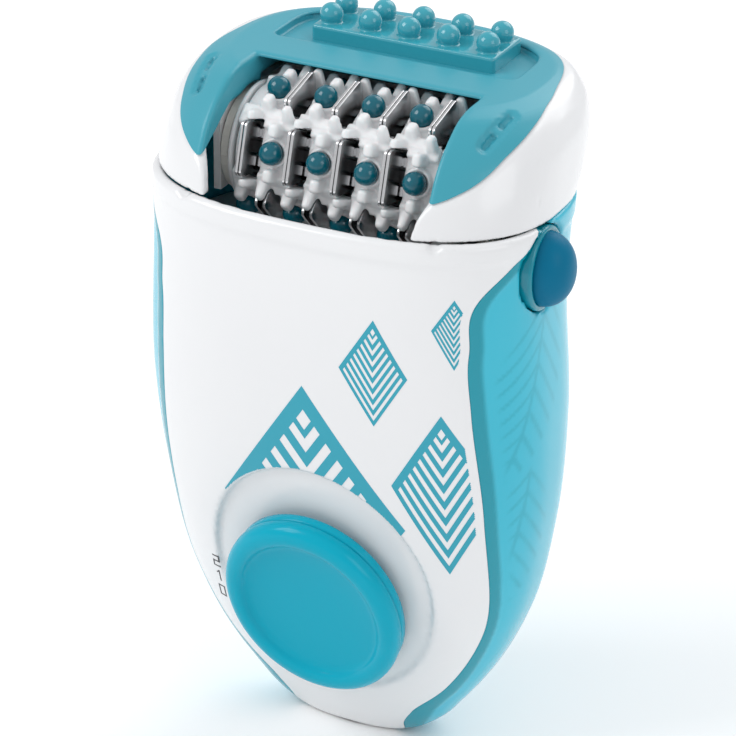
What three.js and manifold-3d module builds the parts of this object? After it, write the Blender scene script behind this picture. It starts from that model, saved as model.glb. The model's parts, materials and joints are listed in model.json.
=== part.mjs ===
// Hand-held epilator, standing upright: +Z points to the head, -Y is the front face.
// The design is drawn symmetric about x = 0 and the whole group is shifted at the end, so
// that the origin is the centre of the bounding box at its bottom. Millimetres.
import * as THREE from 'three';
import { mergeVertices } from 'three/addons/utils/BufferGeometryUtils.js';
import Module from 'manifold-3d';

const wasm = await Module();
wasm.setup();

// ---- driving dimensions --------------------------------------------------------------
const BUTTON_REACH = 37.0; // tip of the release button, from the symmetry plane
const BODY_HALF_WIDTH = 33.8; // widest half of the body
const SHIFT_X = (BODY_HALF_WIDTH - BUTTON_REACH) / 2;

// Sections of the body and the head: height, half width, front and back faces.
const BODY_SECTIONS = [
  [0, 9.0, -7.6, 1.8],
  [1.5, 12.8, -8.2, 3.4],
  [4, 16.0, -9.4, 4.4],
  [8, 19.2, -11.2, 5.6],
  [14, 23.4, -13.5, 7.6],
  [26, 29.0, -17.1, 11.2],
  [42, 32.3, -20.9, 14.2],
  [62, BODY_HALF_WIDTH, -24.2, 14.8],
  [85, 32.7, -25.9, 15.2],
  [98, 32.6, -25.6, 17.8],
];
const HEAD_SECTIONS = [
  [96, 32.6, -25.8, 17.2],
  [104, 32.3, -23.4, 24.4],
  [108, 31.6, -20.9, 26.0],
  [111, 29.9, -17.6, 25.9],
  [112.7, 28.0, -15.0, 25.0],
  [113.5, 26.4, -13.4, 24.2],
];
const BODY_SQUARENESS = 2.7; // exponent of the oval sections: 2 is an ellipse
const HEAD_SQUARENESS = 2.5;
const WALL = 1.8;
const SEAM_GAP = 0.3;
const LIP_Z = 97.5; // top edge of the body shells
const SPLIT_Z = 97.9; // bottom edge of the head
const HEAD_TOP_Z = 113.5;

// Side view (y, z) of the line where the white front shell meets the back shell.
const SEAM_LINE = [
  [-4.6, -1], [-7.4, 2.2], [-9.6, 7], [-10.7, 14], [-12.2, 28], [-17, 50], [-20.3, 70], [-20.8, 80],
  [-19, 90], [-12, 96], [-8, 99],
];
// Side view (y, z) of the line where the head cover sits in the collar.
const COVER_LINE = [
  [-27, 102.6], [-22, 103], [-18, 105], [-12, 108.6], [-8, 110.9], [-3, 112.5], [0, 112.7], [30, 112.7],
];

const ROLLER_Y = -5;
const ROLLER_Z = 100;
const ROLLER_ROWS = 6;
const ROLLER_FIRST_ROW = (16.5 * Math.PI) / 180; // row nearest the front, above the horizontal
const TOOTH_PITCH = 8; // bead to bead along a row
const ROW_TWIST = -TOOTH_PITCH / 3; // each row is shifted along the roller from the last
const CORE_HALF = 16.9;
const CORE_R = 9.3;
const CORE_BORE_R = 7.9;
const BEAD_R = 1.83;
const BEAD_RING_R = 10.7;
const PLATE_T = 0.45;
const PLATE_TOP_R = 12.0;
const ROLLER_ROOM_R = 13.0;
const CLOSED_GAP = 0.15;
const OPEN_GAP = 0.9;
const WINDOW_HALF = 18.8; // half width of the roller's opening
const WINDOW_BACK_Y = -3.2;

const GEAR_MODULE = 0.6;
const MOTOR_TEETH = 10;
const IDLER_WHEEL_TEETH = 30;
const IDLER_PINION_TEETH = 12;
const OUTPUT_TEETH = 24;
const ROLLER_TEETH = 26;
const centreDistance = (a, b) => (GEAR_MODULE * (a + b)) / 2;
const OUTPUT_Z = ROLLER_Z - centreDistance(OUTPUT_TEETH, ROLLER_TEETH);
const IDLER_Z = OUTPUT_Z - centreDistance(IDLER_PINION_TEETH, OUTPUT_TEETH);
const MOTOR_Z = IDLER_Z - centreDistance(MOTOR_TEETH, IDLER_WHEEL_TEETH);
const LOW_GEARS_X = [19.4, 21.2]; // motor pinion and idler wheel
const HIGH_GEARS_X = [21.8, 24.2]; // idler pinion, output gear and roller gear
const MOTOR_R = 10;
const MOTOR_X = [-10, 17.0];

const MASSAGE_HALF = 15.6;
const MASSAGE_Y = [8.6, 19.0];
const MASSAGE_TOP_Z = 114.3;
const DOME_R = 1.7;
const DOME_Z = 116.1;
const DOME_PITCH_X = 6.7;
const DOME_PITCH_Y = 5.1;
const RECESS_HALF = 23;
const RECESS_Y = [5.2, 20.4];
const RECESS_FLOOR_Z = 111.0;

const KNOB_FACE = new THREE.Vector3(0, -18.2, 30); // where the knob's middle meets the front face
const KNOB_TILT = (15 * Math.PI) / 180; // the face there leans forward
const KNOB_HALF = [15.2, 17.4];
const KNOB_HEIGHT = 5.0;
const SWITCH_TRAVEL = 5.5;

const BUTTON = new THREE.Vector3(31.8, -8, 90.3);
const BUTTON_HALF = [4.6, 5.9];
const BEZEL_HALF = [6.2, 7.0];

const HOOK_Y = [-9, -3];
const INLET_Y = -2.9;
const INLET_R = 4.0;
const INLET_BORE_R = 2.8;
const INLET_LENGTH = 12;
const BACK_FLAT_Y = 13.9;
const SCREWS = [[0, 78, 10.5], [-19, 26, 6.2], [19, 26, 6.2]]; // x, z and the seat under the head

const SHELL_SEGMENTS = 28;
const SHELL_RINGS = 9;
const HEAD_RINGS = 5;
const ROUND = 12;

// ---- solids --------------------------------------------------------------------------
function solid(geometry) {
  const bare = geometry.clone();
  bare.deleteAttribute('normal');
  bare.deleteAttribute('uv');
  const merged = mergeVertices(bare, 1e-4);
  return new wasm.Manifold(new wasm.Mesh({
    numProp: 3,
    vertProperties: Float32Array.from(merged.attributes.position.array),
    triVerts: Uint32Array.from(merged.index.array),
  }));
}

function geometryOf(manifold) {
  const mesh = manifold.getMesh();
  const geometry = new THREE.BufferGeometry();
  geometry.setAttribute('position', new THREE.BufferAttribute(Float32Array.from(mesh.vertProperties), 3));
  geometry.setIndex(new THREE.BufferAttribute(Uint32Array.from(mesh.triVerts), 1));
  return geometry;
}

const join = (first, ...others) => others.reduce((sum, item) => sum.add(item), first);
const cut = (first, ...others) => others.reduce((rest, item) => rest.subtract(item), first);

function box(x0, x1, y0, y1, z0, z1) {
  const geometry = new THREE.BoxGeometry(x1 - x0, y1 - y0, z1 - z0);
  return solid(geometry.translate((x0 + x1) / 2, (y0 + y1) / 2, (z0 + z1) / 2));
}

function rodX(radius, x0, x1, y, z, segments = ROUND) {
  const geometry = new THREE.CylinderGeometry(radius, radius, x1 - x0, segments);
  return solid(geometry.rotateZ(Math.PI / 2).translate((x0 + x1) / 2, y, z));
}

function rodY(radius, y0, y1, x, z, segments = ROUND) {
  const geometry = new THREE.CylinderGeometry(radius, radius, y1 - y0, segments);
  return solid(geometry.translate(x, (y0 + y1) / 2, z));
}

function rodZ(radius, z0, z1, x, y, segments = ROUND) {
  const geometry = new THREE.CylinderGeometry(radius, radius, z1 - z0, segments);
  return solid(geometry.rotateX(Math.PI / 2).translate(x, y, (z0 + z1) / 2));
}

// Extrudes an outline of (y, z) points along X.
function plateX(outline, x0, x1) {
  const geometry = new THREE.ExtrudeGeometry(outline, { depth: x1 - x0, bevelEnabled: false, curveSegments: 6 });
  const turn = new THREE.Matrix4().makeBasis(
    new THREE.Vector3(0, 1, 0),
    new THREE.Vector3(0, 0, 1),
    new THREE.Vector3(1, 0, 0),
  );
  return solid(geometry.applyMatrix4(turn).translate(x0, 0, 0));
}

// Extrudes an outline of (x, y) points along Z.
function plateZ(outline, z0, z1) {
  const geometry = new THREE.ExtrudeGeometry(outline, { depth: z1 - z0, bevelEnabled: false, curveSegments: 5 });
  return solid(geometry.translate(0, 0, z0));
}

const points = (list) => list.map(([u, v]) => new THREE.Vector2(u, v));

function roundedRectangle(x0, x1, y0, y1, radius) {
  const outline = new THREE.Shape();
  outline.absarc(x1 - radius, y1 - radius, radius, 0, Math.PI / 2);
  outline.absarc(x0 + radius, y1 - radius, radius, Math.PI / 2, Math.PI);
  outline.absarc(x0 + radius, y0 + radius, radius, Math.PI, 1.5 * Math.PI);
  outline.absarc(x1 - radius, y0 + radius, radius, 1.5 * Math.PI, 2 * Math.PI);
  return outline;
}

// A solid with oval sections that follow a list of sections between two heights.
function loft(sections, squareness, z0, z1, inset, rings) {
  const heights = sections.map((section) => section[0]);
  const values = sections.flatMap((section) => section.slice(1));
  const curve = new THREE.CubicInterpolant(heights, values, 3);
  const geometry = new THREE.CylinderGeometry(1, 1, 1, SHELL_SEGMENTS, rings);
  const position = geometry.attributes.position;
  const shape = (value) => Math.sign(value) * Math.abs(value) ** (2 / squareness);
  for (let i = 0; i < position.count; i += 1) {
    const z = z0 + (z1 - z0) * (position.getY(i) + 0.5);
    const [half, front, back] = curve.evaluate(z);
    const onAxis = Math.hypot(position.getX(i), position.getZ(i)) < 0.5;
    const reach = onAxis ? 0 : 1;
    const x = (half - inset) * reach * shape(position.getX(i));
    const y = (front + back) / 2 - ((back - front) / 2 - inset) * reach * shape(position.getZ(i));
    position.setXYZ(i, x, y, z);
  }
  return solid(geometry);
}

const bodyLoft = (z0, z1, inset, rings) => loft(BODY_SECTIONS, BODY_SQUARENESS, z0, z1, inset, rings);
const headLoft = (z0, z1, inset, rings) => loft(HEAD_SECTIONS, HEAD_SQUARENESS, z0, z1, inset, rings);

// Everything in front of the seam line, moved back by a distance.
function frontOfSeam(offset) {
  const line = new THREE.SplineCurve(points(SEAM_LINE)).getPoints(28);
  const outline = new THREE.Shape([
    ...line.map((p) => new THREE.Vector2(p.x + offset, p.y)),
    new THREE.Vector2(-60, 99),
    new THREE.Vector2(-60, -1),
  ]);
  return plateX(outline, -50, 50);
}

// Everything above the line of the head cover, moved down by a distance.
function aboveCoverLine(offset) {
  const line = points(COVER_LINE).map((p) => new THREE.Vector2(p.x, p.y - offset));
  const outline = new THREE.Shape([...line, new THREE.Vector2(30, 130), new THREE.Vector2(-27, 130)]);
  return plateX(outline, -50, 50);
}

// ---- frames --------------------------------------------------------------------------
// Turns a solid drawn flat, z pointing out of the face, to lie on the leaning front face.
function onSwitchFace(manifold) {
  const out = new THREE.Vector3(0, -Math.cos(KNOB_TILT), -Math.sin(KNOB_TILT));
  const up = new THREE.Vector3(0, -Math.sin(KNOB_TILT), Math.cos(KNOB_TILT));
  const across = new THREE.Vector3(1, 0, 0);
  const place = new THREE.Matrix4().makeBasis(across, up, out).setPosition(KNOB_FACE);
  return manifold.transform(place.elements);
}

// Turns a solid drawn at the roller's top (z = distance from its axis) to a row's place.
function onRollerRow(manifold, row) {
  const angle = ROLLER_FIRST_ROW + (row * 2 * Math.PI) / ROLLER_ROWS;
  const turn = new THREE.Matrix4().makeRotationX(Math.PI / 2 - angle);
  const place = new THREE.Matrix4().makeTranslation(0, ROLLER_Y, ROLLER_Z);
  return manifold.transform(place.multiply(turn).elements);
}

// Middles of a row's eight places along the roller: plates and beads take turns.
function rowPlaces(row) {
  const places = [];
  for (let k = 0; k < 8; k += 1) {
    const shifted = -14 + (k * TOOTH_PITCH) / 2 + ROW_TWIST * row;
    const x = ((((shifted + 16) % 32) + 32) % 32) - 16;
    places.push({ x, plate: k % 2 === 0 });
  }
  return places.filter((place) => Math.abs(place.x) < 15.7);
}

const plateXs = (row) => rowPlaces(row).filter((place) => place.plate).map((place) => place.x);
const beadXs = (row) => rowPlaces(row).filter((place) => !place.plate).map((place) => place.x);
const restGap = (row) => (row === 0 || row === 1 ? CLOSED_GAP : OPEN_GAP);

// ---- housing -------------------------------------------------------------------------
function housingSkin() {
  const inside = bodyLoft(WALL, LIP_Z + 0.4, WALL, SHELL_RINGS);
  return cut(bodyLoft(0, LIP_Z, 0, SHELL_RINGS), inside);
}

function oval(halfX, halfY, z0, z1, scale = 1) {
  const geometry = new THREE.CylinderGeometry(1, 1, z1 - z0, 36).rotateX(Math.PI / 2);
  return solid(geometry.scale(halfX * scale, halfY * scale, 1).translate(0, 0, (z0 + z1) / 2));
}

const buttonHole = () => ovalX(BEZEL_HALF[0], BEZEL_HALF[1], 20, 40);
const inletHole = () => rodZ(INLET_R + SEAM_GAP, -2, INLET_LENGTH, 0, INLET_Y, 20);

function frontShell() {
  const recess = oval(17.4, 20.6, -1.0, 8).translate([0, 2.4, 0]);
  const slot = box(-2.6, 2.6, -3.4, 3.4 + SWITCH_TRAVEL, -6, 2);
  const bosses = SCREWS.map(([x, z]) => rodY(2.6, -40, -2, x, z));
  const pilots = SCREWS.map(([x, z]) => rodY(1.0, -12, 0, x, z));
  const outer = bodyLoft(0, LIP_Z, 0, SHELL_RINGS);
  const skin = housingSkin().intersect(frontOfSeam(0));
  const floor = onSwitchFace(oval(18.6, 21.8, -2.6, -1.0).translate([0, 2.4, 0]));
  const thickened = skin.add(floor.intersect(outer).intersect(frontOfSeam(0)));
  const open = cut(thickened, onSwitchFace(recess), onSwitchFace(slot), buttonHole(), inletHole());
  const shortBosses = bosses.map((boss) => boss.intersect(outer));
  return cut(join(open, ...shortBosses), ...pilots);
}

function backShell() {
  const flat = box(-20, 20, BACK_FLAT_Y, 40, 34, 88);
  const screwHoles = SCREWS.map(([x, z, seat]) => join(rodY(1.5, -2, 40, x, z), rodY(3.0, seat, 40, x, z)));
  const posts = SCREWS.map(([x, z]) => rodY(4.2, -1.6, 40, x, z).intersect(bodyLoft(0, LIP_Z, 0.2, SHELL_RINGS)));
  const skin = join(cut(housingSkin(), frontOfSeam(SEAM_GAP)), ...posts);
  return cut(skin, flat, buttonHole(), inletHole(), ...screwHoles);
}

function ovalX(halfY, halfZ, x0, x1, segments = 24) {
  const geometry = new THREE.CylinderGeometry(1, 1, x1 - x0, segments).rotateZ(Math.PI / 2);
  return solid(geometry.scale(1, halfY, halfZ).translate((x0 + x1) / 2, BUTTON.y, BUTTON.z));
}

function topDeck() {
  const slice = bodyLoft(83.6, 85.2, WALL + 0.4, 1);
  return cut(slice, box(16.8, 40, -40, 40, 80, 90));
}

function chassisPlate() {
  const outline = roundedRectangle(-16, 6, 49, 88, 2);
  const boss = rodX(3.4, 10, 30, ROLLER_Y, MOTOR_Z);
  const bores = [IDLER_Z, OUTPUT_Z].map((z) => rodX(1.35, 10, 30, ROLLER_Y, z));
  return cut(plateX(outline, 17.4, 19.0), boss, ...bores);
}

function gearCover() {
  const outline = roundedRectangle(-15, 5, 64, 90, 2);
  const bores = [IDLER_Z, OUTPUT_Z].map((z) => rodX(1.35, 10, 30, ROLLER_Y, z));
  return cut(plateX(outline, 24.6, 25.6), ...bores);
}

const gearAxle = (z) => rodX(1.0, 17.5, 25.5, ROLLER_Y, z);
const motorCan = () => cut(rodX(MOTOR_R, ...MOTOR_X, ROLLER_Y, MOTOR_Z, 32), rodX(1.6, -12, 20, ROLLER_Y, MOTOR_Z));

function motorCap() {
  const cap = rodX(9.2, MOTOR_X[0] - 3.3, MOTOR_X[0] - 0.3, ROLLER_Y, MOTOR_Z, 32);
  const tabs = [-5, 5].map((dy) => box(MOTOR_X[0] - 6, MOTOR_X[0] - 3, ROLLER_Y + dy - 1, ROLLER_Y + dy + 1, MOTOR_Z - 0.4, MOTOR_Z + 0.4));
  return join(cap, ...tabs);
}

const circuitBoard = () => box(-13.5, 13.5, 1.0, 2.6, 13, 44);
const contactBlock = () => box(5, 12, -6.0, 0.7, 31, 42);
const capacitor = () => rodY(3.2, -7.5, 0.7, -8.5, 38);

function inletSocket() {
  const barrel = rodZ(INLET_R, 0, INLET_LENGTH, 0, INLET_Y, 20);
  return cut(barrel, rodZ(INLET_BORE_R, -1, INLET_LENGTH - 2, 0, INLET_Y, 20));
}

const inletPin = () => rodZ(0.8, 2, INLET_LENGTH - 2.3, 0, INLET_Y, 12);
const shellScrew = ([x, z, seat]) => join(
  rodY(0.85, -11, seat + 0.4, x, z, 12),
  rodY(2.4, seat + 0.3, seat + 1.9, x, z, 16),
);

// A wire from the motor's cap down to the board.
function motorWire(side) {
  const path = new THREE.CatmullRomCurve3([
    new THREE.Vector3(-17.0, ROLLER_Y + 5 * side, MOTOR_Z),
    new THREE.Vector3(-19.5, ROLLER_Y + 5 * side, MOTOR_Z - 4),
    new THREE.Vector3(-18.0, 0.5 + 3 * side, 50),
    new THREE.Vector3(-11.0 + 3 * side, 3.8, 43),
    new THREE.Vector3(-9.0 + 3 * side, 3.6, 38),
  ]);
  const section = new THREE.Shape().absarc(0, 0, 0.6, 0, 2 * Math.PI);
  return solid(new THREE.ExtrudeGeometry(section, { extrudePath: path, steps: 16, curveSegments: 4 }));
}

// ---- gears ---------------------------------------------------------------------------
// Teeth are trapezoids; phase is the angle of one tooth's middle in the (y, z) plane.
function gear(teeth, phase, [x0, x1], z, boreRadius) {
  const pitch = (2 * Math.PI) / teeth;
  const tip = GEAR_MODULE * (teeth / 2 + 0.8);
  const root = GEAR_MODULE * (teeth / 2 - 1.1);
  const corners = [[-0.3, root], [-0.12, tip], [0.12, tip], [0.3, root]];
  const outline = [];
  for (let k = 0; k < teeth; k += 1) {
    for (const [share, radius] of corners) {
      const angle = phase + (k + share) * pitch;
      outline.push(new THREE.Vector2(ROLLER_Y + radius * Math.cos(angle), z + radius * Math.sin(angle)));
    }
  }
  return cut(plateX(new THREE.Shape(outline), x0, x1), rodX(boreRadius, x0 - 1, x1 + 1, ROLLER_Y, z));
}

const TOOTH_UP = Math.PI / 2;
const gapDown = (teeth) => -Math.PI / 2 + Math.PI / teeth;

const motorShaft = () => rodX(0.95, MOTOR_X[0] + 1, LOW_GEARS_X[1] + 0.1, ROLLER_Y, MOTOR_Z, 12);
const motorPinion = () => gear(MOTOR_TEETH, TOOTH_UP, LOW_GEARS_X, MOTOR_Z, 1.25);

function idlerGear() {
  const wheel = gear(IDLER_WHEEL_TEETH, gapDown(IDLER_WHEEL_TEETH), [19.5, 21.1], IDLER_Z, 1.3);
  const neck = cut(rodX(2.6, 21.0, 22.0, ROLLER_Y, IDLER_Z), rodX(1.3, 20, 23, ROLLER_Y, IDLER_Z));
  return join(wheel, neck, gear(IDLER_PINION_TEETH, TOOTH_UP, HIGH_GEARS_X, IDLER_Z, 1.3));
}

const outputGear = () => gear(OUTPUT_TEETH, gapDown(OUTPUT_TEETH), HIGH_GEARS_X, OUTPUT_Z, 1.3);
const rollerGear = () => gear(ROLLER_TEETH, -Math.PI / 2, HIGH_GEARS_X, ROLLER_Z, 1.75);

// ---- switch and release button -------------------------------------------------------
function switchKnob() {
  const dish = [
    [0, 0], [0.92, 0], [1, 0.8], [1, 2.6], [0.94, KNOB_HEIGHT - 0.5], [0.87, KNOB_HEIGHT],
    [0.8, KNOB_HEIGHT - 0.8], [0.6, KNOB_HEIGHT - 1.5], [0, KNOB_HEIGHT - 1.8],
  ];
  const knob = new THREE.LatheGeometry(points(dish), 24).rotateX(Math.PI / 2);
  knob.scale(KNOB_HALF[0], KNOB_HALF[1], 1).translate(0, 0, -0.6);
  return onSwitchFace(solid(knob));
}

function switchSlider() {
  const stem = box(-2.2, 2.2, -3.0, 3.0, -2.4, -0.9);
  const foot = box(-7, 7, -3.0, 3.0, -5.2, -3.0);
  const neck = box(-2.2, 2.2, -3.0, 3.0, -3.2, -2.2);
  return onSwitchFace(join(stem, neck, foot));
}

function releaseButton() {
  const cap = new THREE.SphereGeometry(1, 18, 12);
  cap.scale(BUTTON_REACH - BUTTON.x, BUTTON_HALF[0], BUTTON_HALF[1]).translate(BUTTON.x, BUTTON.y, BUTTON.z);
  const half = solid(cap).intersect(box(BUTTON.x, 60, -30, 30, 60, 110));
  const skirt = ovalX(BUTTON_HALF[0] - 0.1, BUTTON_HALF[1] - 0.1, BUTTON.x - 0.2, BUTTON.x + 0.3);
  const stem = ovalX(1.6, 2.2, 29.2, BUTTON.x, 16);
  return join(half, skirt, stem);
}

function buttonBezel() {
  const ring = ovalX(BEZEL_HALF[0] - 0.3, BEZEL_HALF[1] - 0.3, 29.2, 32.3);
  const well = ovalX(BUTTON_HALF[0] + 0.3, BUTTON_HALF[1] + 0.3, 29.9, 40);
  return cut(ring, well, ovalX(1.9, 2.5, 20, 40, 16));
}

function latchHook() {
  const plate = box(27.8, 28.8, HOOK_Y[0], HOOK_Y[1], 87, 101.2);
  const nose = box(28.6, 30.0, HOOK_Y[0], HOOK_Y[1], 99.9, 101.2);
  return join(plate, nose);
}

// Compression coil between the button and the floor of its bezel.
function buttonSpring() {
  const turns = 2.5;
  const radius = 3.1;
  const from = 30.1;
  const to = 31.2;
  class Coil extends THREE.Curve {
    getPoint(t, target = new THREE.Vector3()) {
      const angle = 2 * Math.PI * turns * t;
      return target.set(
        from + (to - from) * t,
        BUTTON.y + radius * Math.cos(angle),
        BUTTON.z + radius * Math.sin(angle),
      );
    }
  }
  const section = new THREE.Shape().absarc(0, 0, 0.1, 0, 2 * Math.PI);
  return solid(new THREE.ExtrudeGeometry(section, { extrudePath: new Coil(), steps: 30, curveSegments: 2 }));
}

// ---- head ----------------------------------------------------------------------------
const rollerWindow = (z0) => box(-WINDOW_HALF, WINDOW_HALF, -60, WINDOW_BACK_Y, z0, 130);

function headCollar() {
  const skin = cut(headLoft(SPLIT_Z, HEAD_TOP_Z, 0, HEAD_RINGS), headLoft(SPLIT_Z - 0.4, HEAD_TOP_Z + 0.4, WALL, HEAD_RINGS));
  const hookPocket = box(28.4, 31.2, HOOK_Y[0] - 0.4, HOOK_Y[1] + 0.4, 90, 101.6);
  return cut(skin, aboveCoverLine(0), rollerWindow(90), hookPocket);
}

function headCover() {
  const lidInset = WALL + 0.35;
  const lid = headLoft(108, HEAD_TOP_Z - 0.2, lidInset, HEAD_RINGS);
  const inside = headLoft(90, RECESS_FLOOR_Z - 1.4, lidInset + 1.2, HEAD_RINGS);
  const cheekWalls = join(
    box(-20, -WINDOW_HALF, -60, -1.8, 96, RECESS_FLOOR_Z),
    box(WINDOW_HALF, 20, -60, -1.8, 96, RECESS_FLOOR_Z),
    box(-20, 20, WINDOW_BACK_Y, -1.8, 108.5, RECESS_FLOOR_Z),
  );
  const hollow = cut(inside, cheekWalls);
  const recess = plateZ(roundedRectangle(-RECESS_HALF, RECESS_HALF, ...RECESS_Y, 6), RECESS_FLOOR_Z, 120);
  const camRoom = rodX(9.0, -30, 30, ROLLER_Y, ROLLER_Z, 24);
  const rollerRoom = rodX(ROLLER_ROOM_R, -WINDOW_HALF, WINDOW_HALF, ROLLER_Y, ROLLER_Z, 24);
  const feet = [-9, 9].map((x) => box(x - 4, x + 4, 12.2, 15.4, 100, 120));
  const outer = headLoft(97, HEAD_TOP_Z, 0, HEAD_RINGS).intersect(aboveCoverLine(-SEAM_GAP));
  return cut(join(outer, lid), hollow, rollerWindow(90), recess, camRoom, rollerRoom, ...feet);
}

function headFrame() {
  const sides = [box(-21.4, -20.2, -12.5, 10.8, 94, 107.5), box(20.2, 21.4, -12.5, 10.8, 94, 107.5)];
  const bridge = box(-21.4, 21.4, 9.4, 10.8, 94, 107.5);
  return cut(join(...sides, bridge), rodX(1.7, -30, 30, ROLLER_Y, ROLLER_Z));
}

function cam(side) {
  const near = side > 0 ? 18.7 : -19.9;
  const disc = rodX(8.0, near, near + 1.2, ROLLER_Y, ROLLER_Z, 32);
  return cut(disc, rodX(1.7, -30, 30, ROLLER_Y, ROLLER_Z));
}

function massageBar() {
  const plate = plateZ(roundedRectangle(-MASSAGE_HALF, MASSAGE_HALF, ...MASSAGE_Y, 1.5), RECESS_FLOOR_Z + 0.4, MASSAGE_TOP_Z);
  const feet = [-9, 9].map((x) => box(x - 2, x + 2, 12.6, 15.0, 108.9, 112));
  const domes = [];
  const middle = (MASSAGE_Y[0] + MASSAGE_Y[1]) / 2;
  for (const row of [-0.5, 0.5]) {
    for (let k = -2; k <= 2; k += 1) {
      const x = k * DOME_PITCH_X;
      const y = middle + row * DOME_PITCH_Y;
      domes.push(solid(new THREE.SphereGeometry(DOME_R, 6, 4).rotateX(Math.PI / 2).translate(x, y, DOME_Z)));
      domes.push(rodZ(0.9, MASSAGE_TOP_Z - 0.5, DOME_Z - 1, x, y, 4));
    }
  }
  return join(plate, ...feet, ...domes);
}

// ---- roller --------------------------------------------------------------------------
function rollerCore() {
  const tube = cut(
    rodX(CORE_R, -CORE_HALF, CORE_HALF, ROLLER_Y, ROLLER_Z, 18),
    rodX(CORE_BORE_R, -CORE_HALF - 1, CORE_HALF + 1, ROLLER_Y, ROLLER_Z, 18),
  );
  const ribs = [];
  const holes = [];
  for (let row = 0; row < ROLLER_ROWS; row += 1) {
    ribs.push(onRollerRow(box(-CORE_HALF, CORE_HALF, -0.8, 0.8, 8.6, 10.2), row + 0.5));
    for (const x of plateXs(row)) {
      holes.push(onRollerRow(box(x - 1.2, x + 1.5, -4.4, 4.4, 7, 11), row));
    }
    for (const x of beadXs(row)) {
      holes.push(onRollerRow(box(x - 1.35, x + 1.35, -1.35, 1.35, 7, 11), row));
    }
  }
  return cut(join(tube, ...ribs), ...holes);
}

function rollerFlange(side) {
  const near = side > 0 ? CORE_HALF + 0.3 : -CORE_HALF - 1.1;
  const disc = rodX(9.5, near, near + 0.8, ROLLER_Y, ROLLER_Z, 28);
  const spigot = rodX(3.2, side > 0 ? near - 2.0 : near, side > 0 ? near + 0.8 : near + 2.8, ROLLER_Y, ROLLER_Z);
  const slots = [];
  for (let row = 0; row < ROLLER_ROWS; row += 1) {
    slots.push(onRollerRow(box(-30, 30, 1.2, 3.2, 5.7, 7.3), row));
  }
  return cut(join(disc, spigot), rodX(1.75, -30, 30, ROLLER_Y, ROLLER_Z), ...slots);
}

const rollerAxle = () => rodX(1.5, -22.4, 24.6, ROLLER_Y, ROLLER_Z);

function beadStrip(row) {
  const bar = box(-16.6, 16.6, -1.0, 1.0, 6.0, 7.0);
  const parts = beadXs(row).flatMap((x) => [
    rodZ(0.9, 6.9, BEAD_RING_R - 1, x, 0, 4),
    solid(new THREE.SphereGeometry(BEAD_R, 6, 4).rotateX(Math.PI / 2).translate(x, 0, BEAD_RING_R)),
  ]);
  return onRollerRow(join(bar, ...parts), row);
}

// A comb of plates on a bar; side is -1 for the fixed comb and +1 for the moving one.
function comb(row, side) {
  const bar = side > 0 ? box(-17.95, 17.95, 1.5, 2.9, 6.0, 7.0) : box(-16.6, 16.6, -2.9, -1.5, 6.0, 7.0);
  const outline = new THREE.Shape(points([
    [-3.8, 7.4], [3.8, 7.4], [4.4, 10.8], [3.6, PLATE_TOP_R], [-3.6, PLATE_TOP_R], [-4.4, 10.8],
  ]));
  const plates = plateXs(row).flatMap((x) => {
    const near = side > 0 ? x - 0.55 + restGap(row) : x - 0.55 - PLATE_T;
    const tab = side > 0 ? box(near, near + PLATE_T, 1.6, 2.8, 6.5, 7.6) : box(near, near + PLATE_T, -2.8, -1.6, 6.5, 7.6);
    return [plateX(outline, near, near + PLATE_T), tab];
  });
  return onRollerRow(join(bar, ...plates), row);
}

// ---- materials -----------------------------------------------------------------------
const finish = (color, roughness, metalness = 0) => new THREE.MeshStandardMaterial({ color, roughness, metalness });
const whitePlastic = () => finish('#f2f2f3', 0.3);
const turquoisePlastic = () => finish('#23b3c8', 0.25);
const coverPlastic = () => finish('#4fa9bd', 0.4);
const beadPlastic = () => finish('#0f7f97', 0.12);
const buttonPlastic = () => finish('#0d7fb6', 0.55);
const plateSteel = () => finish('#b9bcc0', 0.25, 1);
const motorSteel = () => finish('#8d9196', 0.35, 1);
const gearPlastic = () => finish('#e6e2d6', 0.5);
const blackPlastic = () => finish('#1c1d20', 0.5);
const boardGreen = () => finish('#1e6b45', 0.6);

// ---- assembly ------------------------------------------------------------------------
const group = new THREE.Group();
group.position.x = SHIFT_X;

function place(name, manifold, material) {
  const mesh = new THREE.Mesh(geometryOf(manifold), material);
  mesh.name = name;
  group.add(mesh);
}

place('front_shell', frontShell(), whitePlastic());
place('back_shell', backShell(), turquoisePlastic());
place('top_deck', topDeck(), whitePlastic());
place('chassis_plate', chassisPlate(), gearPlastic());
place('gear_cover', gearCover(), gearPlastic());
place('idler_axle', gearAxle(IDLER_Z), motorSteel());
place('output_axle', gearAxle(OUTPUT_Z), motorSteel());
place('motor_can', motorCan(), motorSteel());
place('motor_end_cap', motorCap(), blackPlastic());
place('motor_shaft', motorShaft(), motorSteel());
place('motor_pinion', motorPinion(), gearPlastic());
place('idler_gear', idlerGear(), gearPlastic());
place('output_gear', outputGear(), gearPlastic());
place('circuit_board', circuitBoard(), boardGreen());
place('switch_contact_block', contactBlock(), blackPlastic());
place('capacitor', capacitor(), blackPlastic());
place('motor_wire_red', motorWire(1), finish('#c22a2a', 0.5));
place('motor_wire_black', motorWire(-1), blackPlastic());
place('inlet_socket', inletSocket(), blackPlastic());
place('inlet_pin', inletPin(), plateSteel());
SCREWS.forEach((screw, index) => place(`shell_screw_${index + 1}`, shellScrew(screw), motorSteel()));
place('switch_knob', switchKnob(), turquoisePlastic());
place('switch_slider', switchSlider(), blackPlastic());
place('button_bezel', buttonBezel(), turquoisePlastic());
place('release_button', releaseButton(), buttonPlastic());
place('latch_hook', latchHook(), gearPlastic());
place('button_spring', buttonSpring(), plateSteel());
place('head_collar', headCollar(), whitePlastic());
place('head_cover', headCover(), coverPlastic());
place('head_frame', headFrame(), whitePlastic());
place('cam_left', cam(-1), gearPlastic());
place('cam_right', cam(1), gearPlastic());
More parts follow.
